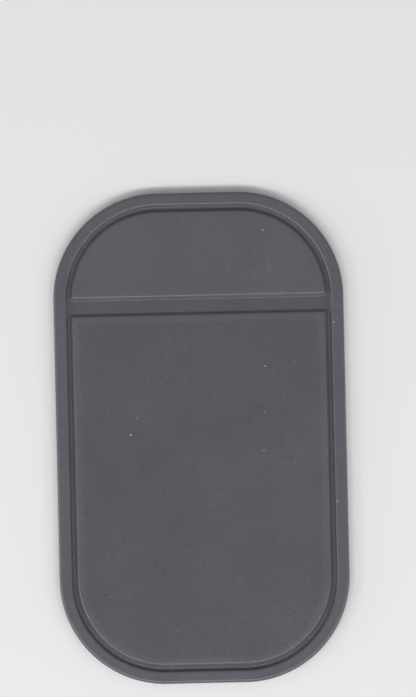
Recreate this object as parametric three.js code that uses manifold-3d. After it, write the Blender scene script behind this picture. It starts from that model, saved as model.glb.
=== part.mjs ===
// Tacky bead mat: one gel casting with a rim, a groove, a smooth arched panel and a field of small pits,
// lying on the clear film that covers its underside until it is put to use.
// Millimetres, +Z up. The origin is on the bench under the middle of the mat, and +Y runs to the panel's end.
import * as THREE from "three";
import { mergeGeometries, mergeVertices } from "three/addons/utils/BufferGeometryUtils.js";
import Module from "manifold-3d";

// Gel sheet
const MAT_LENGTH = 139.7;
const MAT_WIDTH = 82.55;
const MAT_THICKNESS = 3;
const END_CORNER_RADIUS = 30;
const TOP_EDGE_RADIUS = 0.9;
const BOTTOM_EDGE_RADIUS = 0.4;

// Rim, the groove inside it, and the cross channel, which is as deep as the groove
const RIM_WIDTH = 2.95;
const GROOVE_DEPTH = 1.2;
const GROOVE_FLOOR_WIDTH = 0.4;
const CHANNEL_FLOOR_WIDTH = 3.4;

// Walls of groove and channel: leaning out by the draft, rounded over at the lip and filleted at the foot.
// The rim's wall is steep, and the walls of panel and field slope more gently.
const RIM_DRAFT_DEGREES = 15;
const PLATEAU_DRAFT_DEGREES = 35;
const LIP_RADIUS = 0.65;
const FOOT_RADIUS = 0.4;

// Arched panel, measured from the end of the mat to its lip at the channel, and the bead field
const PANEL_REACH = 29;
const PANEL_CORNER_RADIUS = 0.5;
const FIELD_CORNER_RADIUS = 0.4;

// Pits of the field, in columns along the mat and rows across it.
// The columns on both sides of the middle one stand closer to it than the rest do to each other.
const PIT_DIAMETER = 0.6;
const PIT_DEPTH = 0.2;
const PIT_SIDES = 4;
const MIDDLE_COLUMN_GAP = 2.4;
const COLUMN_PITCH = 2.88;
const ROW_PITCH = 2.94;
const FIRST_ROW_FROM_CHANNEL = 2.3;
const PIT_MARGIN = 1;

// Film under the gel, cut a little inside the mat's outline
const LINER_THICKNESS = 0.1;
const LINER_INSET = 0.5;

// Fineness of the curves
const STEPS_PER_ROOT_RADIUS = 2.2;
const FEWEST_CORNER_STEPS = 4;
const FILLET_STEPS = 3;
const SAME_POINT = 1e-6;
const QUARTER_TURN = Math.PI / 2;

const wasm = await Module();
wasm.setup();

const floorHeight = MAT_THICKNESS - GROOVE_DEPTH;
const rimWall = wallProfile(RIM_DRAFT_DEGREES);
const plateauWall = wallProfile(PLATEAU_DRAFT_DEGREES);
const rimRun = rimWall.at(-1)[0];
const plateauRun = plateauWall.at(-1)[0];
const plateauInset = RIM_WIDTH + rimRun + GROOVE_FLOOR_WIDTH + plateauRun;
const channelOpening = CHANNEL_FLOOR_WIDTH + 2 * plateauRun;

// Plan shapes, symmetric in X. Each has a far end with large corners and a near end;
// facing is +1 where the far end is at +Y and -1 where it is at -Y.
const sheetPlan = {
  facing: 1,
  halfWidth: MAT_WIDTH / 2,
  far: MAT_LENGTH / 2,
  near: -MAT_LENGTH / 2,
  farRadius: END_CORNER_RADIUS,
  nearRadius: END_CORNER_RADIUS,
};
const panelPlan = {
  facing: 1,
  halfWidth: MAT_WIDTH / 2 - plateauInset,
  far: MAT_LENGTH / 2 - plateauInset,
  near: MAT_LENGTH / 2 - PANEL_REACH,
  farRadius: END_CORNER_RADIUS - plateauInset,
  nearRadius: PANEL_CORNER_RADIUS,
};
const fieldPlan = {
  facing: -1,
  halfWidth: MAT_WIDTH / 2 - plateauInset,
  far: MAT_LENGTH / 2 - plateauInset,
  near: PANEL_REACH + channelOpening - MAT_LENGTH / 2,
  farRadius: END_CORNER_RADIUS - plateauInset,
  nearRadius: FIELD_CORNER_RADIUS,
};

// Centres of a plan's right-hand corner arcs, and the angle at which the near arc runs into the side.
// Where the plan is too short for both arcs, the near one is tangent to the far one.
function cornerArcs(plan) {
  const farCentre = new THREE.Vector2(plan.halfWidth - plan.farRadius, plan.far - plan.farRadius);
  const rise = Math.max(0, plan.near + plan.nearRadius - farCentre.y);
  const reach = Math.sqrt((plan.farRadius - plan.nearRadius) ** 2 - rise ** 2);
  const nearCentre = new THREE.Vector2(farCentre.x + reach, plan.near + plan.nearRadius);
  return { farCentre, nearCentre, meeting: Math.atan2(rise, reach) };
}

function cornerSteps(radius) {
  return Math.max(FEWEST_CORNER_STEPS, Math.round(STEPS_PER_ROOT_RADIUS * Math.sqrt(radius)));
}

function arcPoints(centre, radius, from, to, steps) {
  const points = [];
  for (let i = 0; i <= steps; i += 1) {
    const angle = THREE.MathUtils.lerp(from, to, i / steps);
    points.push(new THREE.Vector2(Math.cos(angle), Math.sin(angle)).multiplyScalar(radius).add(centre));
  }
  return points;
}

// A plan's outline, counter-clockwise, drawn in by inset (or let out where inset is negative).
function outline(plan, inset) {
  const { farCentre, nearCentre, meeting } = cornerArcs(plan);
  const nearSteps = cornerSteps(plan.nearRadius);
  const farSteps = cornerSteps(plan.farRadius);
  const nearArc = arcPoints(nearCentre, plan.nearRadius - inset, -QUARTER_TURN, meeting, nearSteps);
  const farArc = arcPoints(farCentre, plan.farRadius - inset, meeting, QUARTER_TURN, farSteps);
  const arcsTouch = nearArc.at(-1).distanceTo(farArc[0]) < SAME_POINT;
  const right = [...nearArc, ...(arcsTouch ? farArc.slice(1) : farArc)];
  const left = right.map((point) => new THREE.Vector2(-point.x, point.y)).reverse();
  return [...right, ...left].map((point) => point.multiplyScalar(plan.facing));
}

// Closed solid through the plan's outline at each [inset, height] of a profile, from the lowest ring up.
function loft(plan, profile) {
  const rings = profile.map(([inset]) => outline(plan, inset));
  const points = rings.flatMap((ring, level) => (
    ring.map((point) => new THREE.Vector3(point.x, point.y, profile[level][1]))
  ));
  const count = rings[0].length;
  const top = points.length - count;
  const index = [];
  for (let first = 0; first < top; first += count) {
    for (let i = 0; i < count; i += 1) {
      const a = first + i;
      const b = first + ((i + 1) % count);
      index.push(a, b, b + count, a, b + count, a + count);
    }
  }
  for (const [a, b, c] of THREE.ShapeUtils.triangulateShape(rings[0], [])) {
    index.push(c, b, a);
  }
  for (const [a, b, c] of THREE.ShapeUtils.triangulateShape(rings.at(-1), [])) {
    index.push(top + a, top + b, top + c);
  }
  return new THREE.BufferGeometry().setFromPoints(points).setIndex(index);
}

// Groove or channel wall from its lip down to the floor, as [run, drop] pairs: the rounded lip, a straight
// stretch at the draft, and the fillet at the foot. A wall too low for the lip's radius limits it.
function wallProfile(draftDegrees) {
  const slope = QUARTER_TURN - THREE.MathUtils.degToRad(draftDegrees);
  const lipLimit = GROOVE_DEPTH / (1 - Math.cos(slope)) - FOOT_RADIUS;
  const lipRadius = Math.min(LIP_RADIUS, lipLimit);
  const straightDrop = GROOVE_DEPTH - (lipRadius + FOOT_RADIUS) * (1 - Math.cos(slope));
  const run = (lipRadius + FOOT_RADIUS) * Math.sin(slope) + straightDrop / Math.tan(slope);
  const lip = [];
  const foot = [];
  for (let i = 0; i <= FILLET_STEPS; i += 1) {
    const across = Math.sin((slope * i) / FILLET_STEPS);
    const down = 1 - Math.cos((slope * i) / FILLET_STEPS);
    lip.push([lipRadius * across, lipRadius * down]);
    foot.unshift([run - FOOT_RADIUS * across, GROOVE_DEPTH - FOOT_RADIUS * down]);
  }
  return [...lip, ...foot];
}

// Sheet with its rim, from the underside up over the outer edge and down into the groove.
function sheetProfile() {
  const bottomEdge = [];
  const topEdge = [];
  for (let i = 0; i <= FILLET_STEPS; i += 1) {
    const angle = (QUARTER_TURN * i) / FILLET_STEPS;
    const early = 1 - Math.cos(angle);
    const late = 1 - Math.sin(angle);
    bottomEdge.push([BOTTOM_EDGE_RADIUS * late, BOTTOM_EDGE_RADIUS * early]);
    topEdge.push([TOP_EDGE_RADIUS * early, MAT_THICKNESS - TOP_EDGE_RADIUS * late]);
  }
  const grooveWall = rimWall.map(([run, drop]) => [RIM_WIDTH + run, MAT_THICKNESS - drop]);
  return [...bottomEdge, ...topEdge, ...grooveWall];
}

// Plateau rising from the groove's floor, with its root set into the sheet below.
function plateauProfile() {
  const wallUp = plateauWall.map(([run, drop]) => [-run, MAT_THICKNESS - drop]).reverse();
  return [[-plateauRun, floorHeight / 2], ...wallUp];
}

// True where a plan, drawn in by inset, holds the point.
function holds(plan, inset, x, y) {
  const { farCentre } = cornerArcs(plan);
  const across = Math.abs(x);
  const along = plan.facing * y;
  const inCorner = across > farCentre.x && along > farCentre.y;
  const cornerDistance = Math.hypot(across - farCentre.x, along - farCentre.y);
  const inBox = across <= plan.halfWidth - inset && along <= plan.far - inset && along >= plan.near + inset;
  return inBox && !(inCorner && cornerDistance > plan.farRadius - inset);
}

// X of each column of pits: the middle one, then pairs out to the sides.
function columnPlaces() {
  const places = [0];
  for (let x = MIDDLE_COLUMN_GAP; x <= fieldPlan.halfWidth - PIT_MARGIN; x += COLUMN_PITCH) {
    places.push(x, -x);
  }
  return places;
}

// Centres of the pits, row by row from the channel to the far end, where the round corners leave some out.
function pitCentres() {
  const centres = [];
  for (let along = fieldPlan.near + FIRST_ROW_FROM_CHANNEL; along < fieldPlan.far; along += ROW_PITCH) {
    for (const x of columnPlaces()) {
      const y = fieldPlan.facing * along;
      if (holds(fieldPlan, PIT_MARGIN, x, y)) {
        centres.push(new THREE.Vector2(x, y));
      }
    }
  }
  return centres;
}

// All pits as one cutter: cones, point down, twice as wide and high as a pit, half sunk into the top face.
function pitCutter() {
  const cone = new THREE.ConeGeometry(PIT_DIAMETER, 2 * PIT_DEPTH, PIT_SIDES).rotateX(-QUARTER_TURN);
  const cones = pitCentres().map((centre) => cone.clone().translate(centre.x, centre.y, MAT_THICKNESS));
  return mergeGeometries(cones);
}

function solidOf(geometry) {
  const bare = geometry.clone();
  bare.deleteAttribute("normal");
  bare.deleteAttribute("uv");
  const merged = mergeVertices(bare);
  return new wasm.Manifold(new wasm.Mesh({
    numProp: 3,
    vertProperties: new Float32Array(merged.attributes.position.array),
    triVerts: new Uint32Array(merged.index.array),
  }));
}

function geometryOf(solid) {
  const mesh = solid.getMesh();
  const geometry = new THREE.BufferGeometry();
  geometry.setAttribute("position", new THREE.BufferAttribute(mesh.vertProperties, 3));
  geometry.setIndex(new THREE.BufferAttribute(mesh.triVerts, 1));
  geometry.computeVertexNormals();
  return geometry;
}

function gelMat() {
  const gel = solidOf(loft(sheetPlan, sheetProfile()))
    .add(solidOf(loft(panelPlan, plateauProfile())))
    .add(solidOf(loft(fieldPlan, plateauProfile())))
    .subtract(solidOf(pitCutter()));
  const material = new THREE.MeshStandardMaterial({ color: 0x5a595f, roughness: 0.5, metalness: 0 });
  const mesh = new THREE.Mesh(geometryOf(gel), material);
  mesh.name = "gel_mat";
  mesh.position.z = LINER_THICKNESS;
  return mesh;
}

function releaseLiner() {
  const sheet = new THREE.Shape(outline(sheetPlan, LINER_INSET));
  const geometry = new THREE.ExtrudeGeometry(sheet, { depth: LINER_THICKNESS, bevelEnabled: false });
  const material = new THREE.MeshStandardMaterial({
    color: 0xe8edf0,
    roughness: 0.15,
    metalness: 0,
    transparent: true,
    opacity: 0.35,
  });
  const mesh = new THREE.Mesh(geometry, material);
  mesh.name = "release_liner";
  return mesh;
}

const beadMat = new THREE.Group();
beadMat.add(releaseLiner(), gelMat());

export default beadMat;
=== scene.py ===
"""Looks of a tacky bead mat: the grey gel casting with its groove, panel and pitted field, on its clear film.
Metres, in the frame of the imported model: +Z is up and +Y runs to the panel's end."""
import math
from dataclasses import dataclass

import bmesh
import bpy
from mathutils import Euler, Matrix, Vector
from mathutils.geometry import tessellate_polygon


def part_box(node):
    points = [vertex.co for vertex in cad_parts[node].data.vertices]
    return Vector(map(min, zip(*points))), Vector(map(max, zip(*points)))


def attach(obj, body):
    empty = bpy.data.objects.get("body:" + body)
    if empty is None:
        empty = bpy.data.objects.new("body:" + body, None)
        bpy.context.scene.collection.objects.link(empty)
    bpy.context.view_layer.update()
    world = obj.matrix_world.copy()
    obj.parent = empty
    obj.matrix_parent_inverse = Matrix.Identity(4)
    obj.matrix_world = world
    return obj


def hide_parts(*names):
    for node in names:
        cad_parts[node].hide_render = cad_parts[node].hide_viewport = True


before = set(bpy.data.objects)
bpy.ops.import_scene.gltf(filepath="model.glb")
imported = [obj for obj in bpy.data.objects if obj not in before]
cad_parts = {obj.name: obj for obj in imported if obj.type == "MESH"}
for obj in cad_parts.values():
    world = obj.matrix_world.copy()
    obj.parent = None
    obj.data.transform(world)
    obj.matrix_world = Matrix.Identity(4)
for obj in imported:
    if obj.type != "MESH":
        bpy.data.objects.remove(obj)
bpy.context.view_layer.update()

MM = 0.001
QUARTER_TURN = math.pi / 2

# Gel sheet, whose overall size comes from the frame
END_CORNER_RADIUS = 30 * MM
TOP_EDGE_RADIUS = 0.9 * MM
BOTTOM_EDGE_RADIUS = 0.4 * MM

# Rim, groove and cross channel
RIM_WIDTH = 2.95 * MM
GROOVE_DEPTH = 1.2 * MM
GROOVE_FLOOR_WIDTH = 0.4 * MM
CHANNEL_FLOOR_WIDTH = 3.4 * MM

# Walls: the rim's is steep, and those of panel and field slope more gently
RIM_WALL_SLOPE = math.radians(75)
PLATEAU_WALL_SLOPE = math.radians(55)
LIP_RADIUS = 0.65 * MM
FOOT_RADIUS = 0.4 * MM

# Arched panel and bead field. The spread is how fast the radius of the corners beside the channel grows from
# the lip outwards: at 0 it is the same from lip to foot.
PANEL_REACH = 29 * MM
PANEL_CORNER_RADIUS = 0.5 * MM
PANEL_CORNER_SPREAD = 0.5
FIELD_CORNER_RADIUS = 0.4 * MM
FIELD_CORNER_SPREAD = 0

# Panel and field sink very slightly to their lips, from this far in and at this slope
PANEL_SHOULDER = 1.5 * MM
FIELD_SHOULDER = 0.7 * MM
SHOULDER_SLOPE = 0.07

# Pits of the field, in columns along the mat and rows across it, and the mark by which the gel's material
# finds them for their roughness and their painted shade
PIT_DIAMETER = 0.6 * MM
PIT_DEPTH = 0.2 * MM
MIDDLE_COLUMN_GAP = 2.4 * MM
COLUMN_PITCH = 2.88 * MM
ROW_PITCH = 2.94 * MM
FIRST_ROW_FROM_CHANNEL = 2.3 * MM
PIT_MARGIN = 1 * MM
PIT_MARK = "in_pit"

# Fineness of the curves. A flat strip beside each fillet keeps its smooth shading off the flat faces.
LARGE_CORNER_STEPS = 36
SMALL_CORNER_STEPS = 8
FILLET_STEPS = 6
SHOULDER_STEPS = 4
PIT_SIDES = 12
PIT_RINGS = 4
FLAT_STRIP = 0.1 * MM
SMALLEST_RADIUS = 0.1 * MM
SAME_POINT = 0.001 * MM

# Gel: its two tints, and the widths of its clouds, mottling and grain
GEL_TINTS = ((0.077, 0.0728, 0.0888, 1), (0.081, 0.0767, 0.0928, 1))
CLOUD_WIDTH = 20 * MM
MOTTLE_WIDTH = 3 * MM
GRAIN_WIDTH = 0.9 * MM

# Gel: what its tone is made up of, and how much lighter or, below zero, darker each zone is
PLAIN_TONE = 0.58
CLOUD_TONE = 0.34
MOTTLE_TONE = 0.14
GRAIN_TONE = 0.36
PITTED_TONE = -0.16
# Painted shade in the pits
PIT_SHADE = -0.1
# Painted shade on the floors of groove and channel, and more of it in the narrow groove
HOLLOW_SHADE = -0.13
GROOVE_SHADE = -0.1
# Painted light on the walls
WALL_LIGHT = 0.3
SCRATCH_TONE = 0.4

# Gel: how far the tone over the pits takes to fade out; how far below the top the walls' painted light starts
# and is full; and how far above the floors of groove and channel their painted shade is full and ends
PITTED_FADE = 1.6 * MM
WALL_START = 0.05 * MM
WALL_FULL = 0.3 * MM
HOLLOW_FULL = 0.05 * MM
HOLLOW_END = 0.25 * MM

# Gel: its specular level and roughness, and what adds to the roughness
GEL_SPECULAR = 0.65
PLAIN_ROUGHNESS = 0.28
CLOUD_ROUGHNESS = 0.06
MOTTLE_ROUGHNESS = 0.06
SCRATCH_ROUGHNESS = 0.06
PIT_ROUGHNESS = 0.35
DUST_ROUGHNESS = 0.4

# Gel: widths and heights of its gentle swells and of its fine skin
SWELL_WIDTH = 9 * MM
SWELL_HEIGHT = 0.05 * MM
SKIN_WIDTH = 0.35 * MM
SKIN_HEIGHT = 0.004 * MM

# Dust on the gel: specks lie in a share of the cells of each spacing, and the bright ones are shifted off the
# faint ones
DUST_COLOUR = (0.62, 0.6, 0.6, 1)
DUSTY_SHARE = 0.4
DUST_EDGE = 0.12 * MM
DUST_HEIGHT = 0.05 * MM
FAINT_DUST_SPACING = 9 * MM
FAINT_DUST_RADIUS = 0.22 * MM
FAINT_DUST_STRENGTH = 0.3
BRIGHT_DUST_SPACING = 20 * MM
BRIGHT_DUST_RADIUS = 0.25 * MM
BRIGHT_DUST_SHIFT = 300 * MM

# Rubbed patch of the panel, and how many times as wide as long it is; then its scratches, with the levels of
# the noise at which one sets in and is full
RUBBED_X = 18 * MM
RUBBED_Y = 49.5 * MM
RUBBED_REACH = 14 * MM
RUBBED_WIDENING = 2
SCRATCH_SPACING = 4 * MM
SCRATCH_WIDTH = 0.4 * MM
SCRATCH_START = 0.45
SCRATCH_FULL = 0.6

# Film: its two tints, the widths of its haze and scuffs, and its roughness and cover with what adds to them
FILM_TINTS = ((0.78, 0.83, 0.86, 1), (0.86, 0.89, 0.9, 1))
HAZE_WIDTH = 12 * MM
SCUFF_WIDTH = 1.5 * MM
FILM_ROUGHNESS = 0.1
HAZE_ROUGHNESS = 0.08
SCUFF_ROUGHNESS = 0.06
FILM_COVER = 0.24
HAZE_COVER = 0.08
SCUFF_COVER = 0.04

# Floor, and the glow that makes it look pale far out too
FLOOR_REACH = 8.0
FLOOR_GAP = 0.02 * MM
FLOOR_COLOUR = (0.8, 0.8, 0.8, 1)
FLOOR_ROUGHNESS = 0.9
FLOOR_SPECULAR = 0.1
GLOW_START = 0.3
GLOW_FULL = 3.0
GLOW = 0.4

# Lamps: the arch that they hang on, their power, and how it falls to the sides; then the surround
ARCH_RADIUS = 1.8
ARCH_LEAN = math.radians(35)
LAMPS_EACH_SIDE = 3
LAMP_STEP = math.radians(25)
LAMP_WIDTH = 0.3
LAMP_POWER = 6.6
LEFT_BIAS = 0.2
SIDE_FALL = 0.55
FILL_STRENGTH = 0.43
BACKDROP_COLOUR = (0.62, 0.62, 0.62, 1)

# Photograph: its size, and where the middle of the mat lies in it, with the scale and the turn of the mat
PHOTO_WIDTH = 416
PHOTO_HEIGHT = 697
MAT_CENTRE_PIXEL = (201.5, 437.9)
PIXELS_PER_MM = 3.515
MAT_TURN = math.radians(1.3)
LENS = 200
SENSOR = 36


class Value:
    """A number in a node tree: Python's operators on it add Math nodes."""

    def __init__(self, graph, socket):
        self.graph = graph
        self.socket = socket

    def __add__(self, other):
        return self.graph.math("ADD", self, other)

    def __radd__(self, other):
        return self.graph.math("ADD", other, self)

    def __sub__(self, other):
        return self.graph.math("SUBTRACT", self, other)

    def __rsub__(self, other):
        return self.graph.math("SUBTRACT", other, self)

    def __mul__(self, other):
        return self.graph.math("MULTIPLY", self, other)

    def __rmul__(self, other):
        return self.graph.math("MULTIPLY", other, self)

    def __truediv__(self, other):
        return self.graph.math("DIVIDE", self, other)

    def __rtruediv__(self, other):
        return self.graph.math("DIVIDE", other, self)

    def __gt__(self, other):
        return self.graph.math("GREATER_THAN", self, other)

    def __lt__(self, other):
        return self.graph.math("LESS_THAN", self, other)

    def __abs__(self):
        return self.graph.math("ABSOLUTE", self)


class Graph:
    """A node tree that is written as expressions."""

    def __init__(self, tree):
        self.tree = tree

    def node(self, kind, settings=None, sockets=None):
        """Adds a node: its settings first, then the values or links of its input sockets."""
        node = self.tree.nodes.new(kind)
        for name, value in (settings or {}).items():
            setattr(node, name, value)
        for key, value in (sockets or {}).items():
            self.feed(find_socket(node.inputs, key), value)
        return node

    def feed(self, socket, value):
        """Links a socket to one source or to each of a list, or sets its value."""
        for part in value if isinstance(value, list) else [value]:
            source = part.socket if isinstance(part, Value) else part
            if isinstance(source, bpy.types.NodeSocket):
                self.tree.links.new(source, socket)
            else:
                socket.default_value = source

    def value(self, node, output=0):
        return Value(self, find_socket(node.outputs, output))

    def math(self, operation, *terms):
        return self.value(self.node("ShaderNodeMath", {"operation": operation}, dict(enumerate(terms))))

    def split(self, vector):
        parts = self.node("ShaderNodeSeparateXYZ", sockets={"Vector": vector})
        return [self.value(parts, axis) for axis in range(3)]

    def combine(self, x, y, z):
        return self.node("ShaderNodeCombineXYZ", sockets={0: x, 1: y, 2: z}).outputs[0]

    def length(self, x, y):
        vector = self.combine(x, y, 0.0)
        return self.value(self.node("ShaderNodeVectorMath", {"operation": "LENGTH"}, {0: vector}), "Value")

    def past(self, value, limit):
        """How far a value is past a limit, and 0 before it."""
        return self.math("MAXIMUM", value - limit, 0.0)

    def between(self, value, start, end, low=0.0, high=1.0):
        """Runs smoothly from low, where the value is at start, to high, where it is at end."""
        sockets = {"Value": value, 1: start, 2: end, 3: low, 4: high}
        return self.value(self.node("ShaderNodeMapRange", {"interpolation_type": "SMOOTHSTEP"}, sockets))

    def noise(self, place, width, detail=2.0, roughness=0.5):
        """Noise from 0 to 1 whose swells are about that wide."""
        sockets = {"Vector": place, "Scale": 1 / width, "Detail": detail, "Roughness": roughness}
        return self.value(self.node("ShaderNodeTexNoise", sockets=sockets))

    def mix(self, factor, first, second):
        sockets = {"Factor_Float": factor, "A_Color": first, "B_Color": second}
        return find_socket(self.node("ShaderNodeMix", {"data_type": "RGBA"}, sockets).outputs, "Result_Color")


def find_socket(sockets, key):
    """A socket by its place in the list, its identifier or its name."""
    if isinstance(key, int):
        return sockets[key]
    return next((socket for socket in sockets if socket.identifier == key), None) or sockets[key]


@dataclass
class Plan:
    """A plan shape, symmetric in X, with large corners at its far end; facing is the sign of that end's Y."""
    facing: int
    half_width: float
    far: float
    near: float
    far_radius: float
    near_radius: float
    near_spread: float
    near_steps: int

    @property
    def corner_x(self):
        return self.half_width - self.far_radius

    @property
    def corner_y(self):
        return self.far - self.far_radius

    def outline(self, inset):
        """The plan's outline as points, counter-clockwise, drawn in by inset."""
        far_radius = self.far_radius - inset
        near_radius = max(self.near_radius - self.near_spread * inset, SMALLEST_RADIUS)
        near_y = self.near + inset + near_radius
        rise = max(0.0, near_y - self.corner_y)
        reach = math.sqrt((far_radius - near_radius) ** 2 - rise ** 2)
        meeting = math.atan2(rise, reach)
        near_arc = arc(self.corner_x + reach, near_y, near_radius, -QUARTER_TURN, meeting, self.near_steps)
        far_arc = arc(self.corner_x, self.corner_y, far_radius, meeting, QUARTER_TURN, LARGE_CORNER_STEPS)
        right = near_arc + (far_arc[1:] if rise else far_arc)
        left = [(-x, y) for x, y in reversed(right)]
        return [(self.facing * x, self.facing * y) for x, y in right + left]


def arc(centre_x, centre_y, radius, start, end, steps):
    angles = [start + (end - start) * step / steps for step in range(steps + 1)]
    return [(centre_x + radius * math.cos(angle), centre_y + radius * math.sin(angle)) for angle in angles]


def fillet_turns(angle):
    return [angle * step / FILLET_STEPS for step in range(FILLET_STEPS + 1)]


def wall_profile(slope):
    """A wall from the flat above its lip to the floor at its foot, as (run, drop) pairs."""
    rounded = LIP_RADIUS + FOOT_RADIUS
    straight_drop = GROOVE_DEPTH - rounded * (1 - math.cos(slope))
    run = rounded * math.sin(slope) + straight_drop / math.tan(slope)
    lip = [(LIP_RADIUS * math.sin(turn), LIP_RADIUS * (1 - math.cos(turn))) for turn in fillet_turns(slope)]
    foot = [
        (run - FOOT_RADIUS * math.sin(turn), GROOVE_DEPTH - FOOT_RADIUS * (1 - math.cos(turn)))
        for turn in reversed(fillet_turns(slope))
    ]
    return [(-FLAT_STRIP, 0.0)] + lip + foot


gel_low, gel_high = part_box("gel_mat")
half_width = (gel_high.x - gel_low.x) / 2
half_length = (gel_high.y - gel_low.y) / 2
base_height = gel_low.z
top_height = gel_high.z
floor_height = top_height - GROOVE_DEPTH

rim_wall = wall_profile(RIM_WALL_SLOPE)
plateau_wall = wall_profile(PLATEAU_WALL_SLOPE)
plateau_inset = RIM_WIDTH + rim_wall[-1][0] + GROOVE_FLOOR_WIDTH + plateau_wall[-1][0]
channel_opening = CHANNEL_FLOOR_WIDTH + 2 * plateau_wall[-1][0]

sheet_plan = Plan(
    facing=1, half_width=half_width, far=half_length, near=-half_length,
    far_radius=END_CORNER_RADIUS, near_radius=END_CORNER_RADIUS, near_spread=1, near_steps=LARGE_CORNER_STEPS,
)
panel_plan = Plan(
    facing=1, half_width=half_width - plateau_inset, far=half_length - plateau_inset,
    near=half_length - PANEL_REACH, far_radius=END_CORNER_RADIUS - plateau_inset,
    near_radius=PANEL_CORNER_RADIUS, near_spread=PANEL_CORNER_SPREAD, near_steps=SMALL_CORNER_STEPS,
)
field_plan = Plan(
    facing=-1, half_width=half_width - plateau_inset, far=half_length - plateau_inset,
    near=PANEL_REACH + channel_opening - half_length, far_radius=END_CORNER_RADIUS - plateau_inset,
    near_radius=FIELD_CORNER_RADIUS, near_spread=FIELD_CORNER_SPREAD, near_steps=SMALL_CORNER_STEPS,
)
first_row = -field_plan.near - FIRST_ROW_FROM_CHANNEL


def sheet_profile():
    """The sheet from its underside up over the outer edge, across the rim and down into the groove."""
    underside = [(BOTTOM_EDGE_RADIUS + FLAT_STRIP, base_height)]
    bottom_edge = [
        (BOTTOM_EDGE_RADIUS * (1 - math.sin(turn)), base_height + BOTTOM_EDGE_RADIUS * (1 - math.cos(turn)))
        for turn in fillet_turns(QUARTER_TURN)
    ]
    side = [
        (0.0, base_height + BOTTOM_EDGE_RADIUS + FLAT_STRIP),
        (0.0, top_height - TOP_EDGE_RADIUS - FLAT_STRIP),
    ]
    top_edge = [
        (TOP_EDGE_RADIUS * (1 - math.cos(turn)), top_height - TOP_EDGE_RADIUS * (1 - math.sin(turn)))
        for turn in fillet_turns(QUARTER_TURN)
    ]
    rim = [(TOP_EDGE_RADIUS + FLAT_STRIP, top_height)]
    wall = [(RIM_WIDTH + run, top_height - drop) for run, drop in rim_wall]
    floor = [(wall[-1][0] + FLAT_STRIP, floor_height)]
    return underside + bottom_edge + side + top_edge + rim + wall + floor


def plateau_profile(shoulder):
    """A plateau from the groove's floor up over its lip and its shoulder, to where it is flat."""
    sink = SHOULDER_SLOPE * shoulder / 2
    squeeze = 1 - sink / GROOVE_DEPTH
    wall = [
        (-run, floor_height + (GROOVE_DEPTH - drop) * squeeze)
        for run, drop in reversed(plateau_wall[1:])
    ]
    crown = [
        (shoulder * step / SHOULDER_STEPS, top_height - sink * (1 - step / SHOULDER_STEPS) ** 2)
        for step in range(1, SHOULDER_STEPS + 1)
    ]
    flat = [(shoulder + FLAT_STRIP, top_height)]
    return [(wall[0][0] - FLAT_STRIP, floor_height)] + wall + crown + flat


def loft(mesh, plan, profile):
    """Skins the plan's outline at each (inset, height) of the profile; returns the first and last ring."""
    rings = [[mesh.verts.new((x, y, height)) for x, y in plan.outline(inset)] for inset, height in profile]
    for lower, upper in zip(rings, rings[1:]):
        for i, vertex in enumerate(lower):
            following = (i + 1) % len(lower)
            mesh.faces.new((vertex, lower[following], upper[following], upper[i]))
    return rings[0], rings[-1]


def fill_between(mesh, *rings):
    """Fills the flat face inside the first ring and outside the others."""
    corners = [vertex for ring in rings for vertex in ring]
    for triangle in tessellate_polygon([[vertex.co for vertex in ring] for ring in rings]):
        mesh.faces.new([corners[i] for i in triangle])


def gel_shell():
    """The gel casting's skin, still open where the pitted face of the field goes."""
    mesh = bmesh.new()
    underside, groove_edge = loft(mesh, sheet_plan, sheet_profile())
    panel_foot, panel_top = loft(mesh, panel_plan, plateau_profile(PANEL_SHOULDER))
    field_foot, _ = loft(mesh, field_plan, plateau_profile(FIELD_SHOULDER))
    mesh.faces.new(underside)
    mesh.faces.new(panel_top)
    fill_between(mesh, groove_edge, panel_foot, field_foot)
    bmesh.ops.recalc_face_normals(mesh, faces=mesh.faces)
    shell = bpy.data.meshes.new("gel_casting")
    mesh.to_mesh(shell)
    mesh.free()
    return shell


def corner_distance(graph, x, y, corner_x, corner_y):
    """How far a point is past the centres of the large corners: their radius, on the plan's outline."""
    return graph.length(graph.past(abs(x), corner_x), graph.past(y, corner_y))


def pitted_face_tree(numbers, counts):
    """Node tree that closes an open shell with a flat face that has rows and columns of small pits."""
    tree = bpy.data.node_groups.new("pitted_face", "GeometryNodeTree")
    kinds = {**dict.fromkeys(numbers, "Float"), **dict.fromkeys(counts, "Int")}
    for name, kind in {"Shell": "Geometry", **kinds, "Gel": "Material"}.items():
        tree.interface.new_socket(name, in_out="INPUT", socket_type=f"NodeSocket{kind}")
    tree.interface.new_socket("Casting", in_out="OUTPUT", socket_type="NodeSocketGeometry")
    graph = Graph(tree)
    given = graph.node("NodeGroupInput").outputs
    size = {name: Value(graph, given[name]) for name in kinds}

    pits = graph.node("GeometryNodeInstanceOnPoints", sockets={
        "Points": pit_places(graph, size), "Instance": pit(graph, size),
    })
    pits = graph.node("GeometryNodeRealizeInstances", sockets={"Geometry": pits.outputs[0]}).outputs[0]
    open_parts = graph.node("GeometryNodeJoinGeometry", sockets={0: [given["Shell"], pits]}).outputs[0]
    face = flat_face(graph, open_parts, size)
    joined = graph.node("GeometryNodeJoinGeometry", sockets={0: [open_parts, face]})
    merged = graph.node("GeometryNodeMergeByDistance", sockets={
        "Geometry": joined.outputs[0], "Distance": SAME_POINT,
    })
    smooth = graph.node("GeometryNodeSetShadeSmooth", sockets={"Geometry": merged.outputs[0]})
    real = graph.node("GeometryNodeRealizeInstances", sockets={"Geometry": smooth.outputs[0]})
    finished = graph.node("GeometryNodeSetMaterial", sockets={
        "Geometry": real.outputs[0], "Material": given["Gel"],
    })
    graph.node("NodeGroupOutput", sockets={0: finished.outputs[0]})
    return tree


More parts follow.
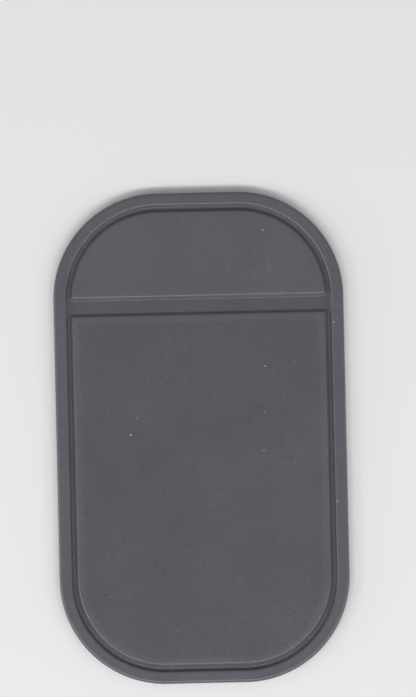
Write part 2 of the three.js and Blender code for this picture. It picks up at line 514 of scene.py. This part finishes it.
def pit_places(graph, size):
    """Points of the pit grid, closer beside the middle column and left out in the field's round corners."""
    columns = size["Columns"]
    rows = size["Rows"]
    grid = graph.node("GeometryNodeMeshGrid", sockets={
        "Vertices X": columns, "Vertices Y": rows, "Size X": columns - 1, "Size Y": rows - 1,
    })
    column, row, _ = graph.split(graph.node("GeometryNodeInputPosition").outputs[0])
    drawn_in = size["Column Pitch"] - size["Middle Gap"]
    x = column * size["Column Pitch"] - graph.math("SIGN", column) * drawn_in
    y = size["First Row"] - (row + (rows - 1) / 2) * size["Row Pitch"]
    placed = graph.node("GeometryNodeSetPosition", sockets={
        "Geometry": grid.outputs[0], "Position": graph.combine(x, y, size["Top Height"]),
    })
    across, along, _ = graph.split(graph.node("GeometryNodeInputPosition").outputs[0])
    along = along * field_plan.facing
    outside = corner_distance(graph, across, along, size["Corner X"], size["Corner Y"]) > size["Corner Reach"]
    kept = graph.node("GeometryNodeDeleteGeometry", {"domain": "POINT"}, {
        "Geometry": placed.outputs[0], "Selection": outside,
    })
    return kept.outputs[0]


def pit(graph, size):
    """One pit: a round bowl, whose outermost ring is a flat collar that blends into the face around it."""
    radius = size["Pit Diameter"] / 2
    collar = size["Pit Rings"] / (size["Pit Rings"] - 1)
    cone = graph.node("GeometryNodeMeshCone", {"fill_type": "NONE"}, {
        "Vertices": size["Pit Sides"], "Side Segments": size["Pit Rings"],
        "Radius Top": 0.0, "Radius Bottom": radius * collar, "Depth": size["Pit Depth"],
    })
    x, y, _ = graph.split(graph.node("GeometryNodeInputPosition").outputs[0])
    out = graph.length(x, y) / radius
    marked = graph.node("GeometryNodeStoreNamedAttribute", {"data_type": "FLOAT", "domain": "POINT"}, {
        "Geometry": find_socket(cone.outputs, "Mesh"), "Name": PIT_MARK, "Value": out < (collar + 1) / 2,
    })
    rise = graph.math("COSINE", graph.math("MINIMUM", out, 1.0) * math.pi) + 1
    bowl = graph.node("GeometryNodeSetPosition", sockets={
        "Geometry": marked.outputs[0], "Position": graph.combine(x, y, 0.0 - size["Pit Depth"] * rise / 2),
    })
    return bowl.outputs[0]


def flat_face(graph, open_parts, size):
    """Flat face between the open edges of the parts: the field's lip outside and the pits' collars inside.
    It is filled in at height 0, and then raised."""
    faces_at_edge = graph.value(graph.node("GeometryNodeInputMeshEdgeNeighbors"))
    edges = graph.node("GeometryNodeSeparateGeometry", {"domain": "EDGE"}, {
        "Geometry": open_parts, "Selection": faces_at_edge < 2,
    })
    loops = graph.node("GeometryNodeMeshToCurve", sockets={"Mesh": edges.outputs[0]})
    filled = graph.node("GeometryNodeFillCurve", sockets={"Curve": loops.outputs[0]})
    raised = graph.node("GeometryNodeSetPosition", sockets={
        "Geometry": filled.outputs[0], "Offset": graph.combine(0.0, 0.0, size["Top Height"]),
    })
    return raised.outputs[0]


def gel_casting(material):
    """The whole gel mat: its skin, closed by the pitted face."""
    outer_columns = field_plan.half_width - PIT_MARGIN - MIDDLE_COLUMN_GAP
    columns_each_side = math.floor(outer_columns / COLUMN_PITCH) + 1
    numbers = {
        "Pit Diameter": PIT_DIAMETER,
        "Pit Depth": PIT_DEPTH,
        "Middle Gap": MIDDLE_COLUMN_GAP,
        "Column Pitch": COLUMN_PITCH,
        "Row Pitch": ROW_PITCH,
        "First Row": first_row,
        "Corner X": field_plan.corner_x,
        "Corner Y": field_plan.corner_y,
        "Corner Reach": field_plan.far_radius - PIT_MARGIN,
        "Top Height": top_height,
    }
    counts = {
        "Columns": 2 * columns_each_side + 1,
        "Rows": math.floor((field_plan.far + first_row) / ROW_PITCH) + 1,
        "Pit Sides": PIT_SIDES,
        "Pit Rings": PIT_RINGS,
    }
    casting = bpy.data.objects.new("gel_casting", gel_shell())
    bpy.context.scene.collection.objects.link(casting)
    modifier = casting.modifiers.new("pitted_face", "NODES")
    modifier.node_group = pitted_face_tree(numbers, counts)
    inputs = {**numbers, **counts, "Gel": material}
    for socket in modifier.node_group.interface.items_tree:
        if socket.name in inputs:
            modifier[socket.identifier] = inputs[socket.name]
    evaluated = casting.evaluated_get(bpy.context.evaluated_depsgraph_get())
    casting.data = bpy.data.meshes.new_from_object(evaluated)
    casting.modifiers.clear()
    return casting


def new_material(name):
    """A material with an empty node tree, and the graph of that tree."""
    material = bpy.data.materials.new(name)
    material.use_nodes = True
    material.node_tree.nodes.clear()
    return material, Graph(material.node_tree)


def finish_material(graph, sockets):
    shader = graph.node("ShaderNodeBsdfPrincipled", sockets=sockets)
    graph.node("ShaderNodeOutputMaterial", sockets={"Surface": shader.outputs[0]})


def zone_tone_and_painted_shading(graph, x, y, z):
    """Factor on the gel's tone: darker over the pits, with painted shade on the floors and painted light on
    the walls.
    """
    past_corner = corner_distance(graph, x, y * field_plan.facing, field_plan.corner_x, field_plan.corner_y)
    pitted_edge = field_plan.far_radius - FIELD_SHOULDER
    in_outline = graph.between(past_corner, pitted_edge, pitted_edge - PITTED_FADE)
    pitted = in_outline * graph.between(y, first_row + PITTED_FADE, first_row)

    edge = END_CORNER_RADIUS - corner_distance(graph, x, abs(y), sheet_plan.corner_x, sheet_plan.corner_y)
    # Painted shade on the floors of groove and channel, and more of it in the narrow groove
    hollows = graph.between(z, floor_height + HOLLOW_END, floor_height + HOLLOW_FULL)
    groove = hollows * (edge < plateau_inset)
    # Painted light on the walls below the lips of rim, panel and field
    below_lip = graph.between(z, top_height - WALL_START, top_height - WALL_FULL)
    painted_wall_light = below_lip * (1 - hollows) * (edge > RIM_WIDTH)
    painted_hollow_shade = (1 + hollows * HOLLOW_SHADE) * (1 + groove * GROOVE_SHADE)
    return (1 + pitted * PITTED_TONE) * painted_hollow_shade * (1 + painted_wall_light * WALL_LIGHT)


def dust(graph, place, spacing, largest):
    """Round specks, at most one to a cell of the given spacing, in sizes up to the largest radius."""
    cells = graph.node("ShaderNodeTexVoronoi", {"voronoi_dimensions": "2D"}, {
        "Vector": place, "Scale": 1 / spacing,
    })
    chance, _, _ = graph.split(cells.outputs["Color"])
    radius = (chance - (1 - DUSTY_SHARE)) * (largest / DUSTY_SHARE)
    beyond = graph.value(cells, "Distance") * spacing - radius
    return graph.between(beyond, 0.0, -DUST_EDGE)


def scratches(graph, place):
    """Thin curved scratches, broken off here and there."""
    sway = graph.node("ShaderNodeTexNoise", sockets={"Vector": place, "Scale": 1 / SCRATCH_SPACING})
    bent = graph.node("ShaderNodeVectorMath", {"operation": "MULTIPLY_ADD"}, {
        0: sway.outputs["Color"], 1: (SCRATCH_SPACING,) * 3, 2: place,
    })
    cells = graph.node("ShaderNodeTexVoronoi", {"feature": "DISTANCE_TO_EDGE", "voronoi_dimensions": "2D"}, {
        "Vector": bent.outputs[0], "Scale": 1 / SCRATCH_SPACING,
    })
    lines = graph.between(graph.value(cells, "Distance") * SCRATCH_SPACING, SCRATCH_WIDTH / 2, 0.0)
    return lines * graph.between(graph.noise(place, SCRATCH_SPACING / 2), SCRATCH_START, SCRATCH_FULL)


def gel_material():
    """Satin grey gel: mottled and grainy, toned by zones with painted shade in the pits and on the floors and
    painted light on the walls, with dust and a rubbed patch of scratches.
    """
    material, graph = new_material("grey_gel")
    place = graph.node("ShaderNodeTexCoord").outputs["Object"]
    x, y, z = graph.split(place)
    clouds = graph.noise(place, CLOUD_WIDTH, detail=3.0)
    mottle = graph.noise(place, MOTTLE_WIDTH, detail=3.0)
    grain = graph.noise(place, GRAIN_WIDTH, roughness=0.7)
    pits = graph.value(graph.node("ShaderNodeAttribute", {"attribute_name": PIT_MARK}), "Fac")
    from_patch = graph.length(x - RUBBED_X, (y - RUBBED_Y) * RUBBED_WIDENING)
    scratched = graph.between(from_patch, RUBBED_REACH, RUBBED_REACH / 2) * scratches(graph, place)
    faint = dust(graph, place, FAINT_DUST_SPACING, FAINT_DUST_RADIUS) * FAINT_DUST_STRENGTH
    moved = graph.combine(x + BRIGHT_DUST_SHIFT, y, z)
    specks = graph.math("MAXIMUM", faint, dust(graph, moved, BRIGHT_DUST_SPACING, BRIGHT_DUST_RADIUS))

    tone = PLAIN_TONE + clouds * CLOUD_TONE + mottle * MOTTLE_TONE + grain * GRAIN_TONE
    # Painted shade on the floors and in the pits, and painted light on the walls
    tone = tone * zone_tone_and_painted_shading(graph, x, y, z) * (1 + pits * PIT_SHADE) * (1 + scratched * SCRATCH_TONE)
    gel = graph.node("ShaderNodeVectorMath", {"operation": "SCALE"}, {
        0: graph.mix(clouds, *GEL_TINTS), "Scale": tone,
    })
    roughness = PLAIN_ROUGHNESS + clouds * CLOUD_ROUGHNESS + mottle * MOTTLE_ROUGHNESS
    roughness = roughness + scratched * SCRATCH_ROUGHNESS + pits * PIT_ROUGHNESS + specks * DUST_ROUGHNESS
    swells = graph.noise(place, SWELL_WIDTH) * SWELL_HEIGHT
    relief = swells + graph.noise(place, SKIN_WIDTH) * SKIN_HEIGHT + specks * DUST_HEIGHT
    bump = graph.node("ShaderNodeBump", sockets={"Strength": 1.0, "Distance": 1.0, "Height": relief})
    finish_material(graph, {
        "Base Color": graph.mix(specks, gel.outputs[0], DUST_COLOUR), "Roughness": roughness,
        "Normal": bump.outputs[0], "Specular IOR Level": GEL_SPECULAR,
    })
    return material


def film_material():
    """Clear glossy film with a little haze and faint scuffs."""
    material, graph = new_material("clear_film")
    place = graph.node("ShaderNodeTexCoord").outputs["Object"]
    haze = graph.noise(place, HAZE_WIDTH, detail=3.0)
    scuffs = graph.noise(place, SCUFF_WIDTH, detail=4.0)
    finish_material(graph, {
        "Base Color": graph.mix(haze, *FILM_TINTS),
        "Roughness": FILM_ROUGHNESS + haze * HAZE_ROUGHNESS + scuffs * SCUFF_ROUGHNESS,
        "Alpha": FILM_COVER + haze * HAZE_COVER + scuffs * SCUFF_COVER,
    })
    return material


def seen_directly(graph):
    """1 where the camera, gloss or clear film shows a surface, and 0 where the surface only gives light."""
    path = graph.node("ShaderNodeLightPath").outputs
    seen = graph.math("MAXIMUM", path["Is Camera Ray"], path["Is Glossy Ray"])
    return graph.math("MAXIMUM", seen, path["Is Transmission Ray"])


def floor_material():
    """Pale matt floor, which looks pale far from the lamps too and gives no light of its own."""
    material, graph = new_material("pale_floor")
    x, y, _ = graph.split(graph.node("ShaderNodeTexCoord").outputs["Object"])
    glow = seen_directly(graph) * graph.between(graph.length(x, y), GLOW_START, GLOW_FULL, 0.0, GLOW)
    finish_material(graph, {
        "Base Color": FLOOR_COLOUR, "Roughness": FLOOR_ROUGHNESS, "Specular IOR Level": FLOOR_SPECULAR,
        "Emission Color": graph.combine(glow, glow, glow), "Emission Strength": 1.0,
    })
    return material


def add_floor():
    """A flat floor, a hair below the film so that the two faces don't coincide."""
    signs = ((-1, -1), (1, -1), (1, 1), (-1, 1))
    corners = [(x * FLOOR_REACH, y * FLOOR_REACH, -FLOOR_GAP) for x, y in signs]
    mesh = bpy.data.meshes.new("floor")
    mesh.from_pydata(corners, [], [(0, 1, 2, 3)])
    mesh.materials.append(floor_material())
    floor = bpy.data.objects.new("floor", mesh)
    bpy.context.scene.collection.objects.link(floor)


def add_lamp(place):
    """A soft lamp on an arch across the mat, which leans away from the panel; place counts from its top."""
    data = bpy.data.lights.new("arch_lamp", "AREA")
    data.shape = "RECTANGLE"
    data.size = 2 * ARCH_RADIUS * math.tan(LAMP_STEP / 2)
    data.size_y = LAMP_WIDTH
    sideways = place / LAMPS_EACH_SIDE
    data.energy = LAMP_POWER * (1 - LEFT_BIAS * sideways - SIDE_FALL * abs(sideways))
    lamp = bpy.data.objects.new("arch_lamp", data)
    swing = place * LAMP_STEP
    towards = Vector((math.sin(swing), 0.0, math.cos(swing)))
    towards.rotate(Euler((ARCH_LEAN, 0.0, 0.0)))
    lamp.location = towards * ARCH_RADIUS
    lamp.rotation_euler = towards.to_track_quat("Z", "Y").to_euler()
    lamp.visible_camera = False
    bpy.context.scene.collection.objects.link(lamp)


def add_surround():
    """Even light from all around, and the pale backdrop that is seen in its place."""
    world = bpy.data.worlds.new("surround")
    world.use_nodes = True
    world.node_tree.nodes.clear()
    graph = Graph(world.node_tree)
    light = graph.node("ShaderNodeBackground", sockets={"Color": (1, 1, 1, 1), "Strength": FILL_STRENGTH})
    backdrop = graph.node("ShaderNodeBackground", sockets={"Color": BACKDROP_COLOUR, "Strength": 1.0})
    surround = graph.node("ShaderNodeMixShader", sockets={
        0: seen_directly(graph), 1: light.outputs[0], 2: backdrop.outputs[0],
    })
    graph.node("ShaderNodeOutputWorld", sockets={"Surface": surround.outputs[0]})
    bpy.context.scene.world = world


def add_camera():
    """Looks straight down, with the mat as large, as far off the middle and as turned as in the photo.
    The sensor spans the picture's height, which is its longer side."""
    data = bpy.data.cameras.new("camera")
    data.lens = LENS
    data.sensor_width = SENSOR
    camera = bpy.data.objects.new("camera", data)
    frame_height = PHOTO_HEIGHT / PIXELS_PER_MM * MM
    right = (PHOTO_WIDTH / 2 - MAT_CENTRE_PIXEL[0]) / PIXELS_PER_MM * MM
    up = (MAT_CENTRE_PIXEL[1] - PHOTO_HEIGHT / 2) / PIXELS_PER_MM * MM
    turn = Euler((0.0, 0.0, -MAT_TURN))
    place = Vector((right, up, top_height + frame_height * LENS / SENSOR))
    place.rotate(turn)
    camera.location = place
    camera.rotation_euler = turn
    bpy.context.scene.collection.objects.link(camera)
    bpy.context.scene.camera = camera


gel = gel_casting(gel_material())
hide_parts("gel_mat")
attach(gel, "mat")

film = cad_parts["release_liner"]
film.data.materials.clear()
film.data.materials.append(film_material())

add_floor()
for lamp_place in range(-LAMPS_EACH_SIDE, LAMPS_EACH_SIDE + 1):
    add_lamp(lamp_place)
add_surround()
add_camera()
bpy.context.scene.view_settings.view_transform = "Standard"
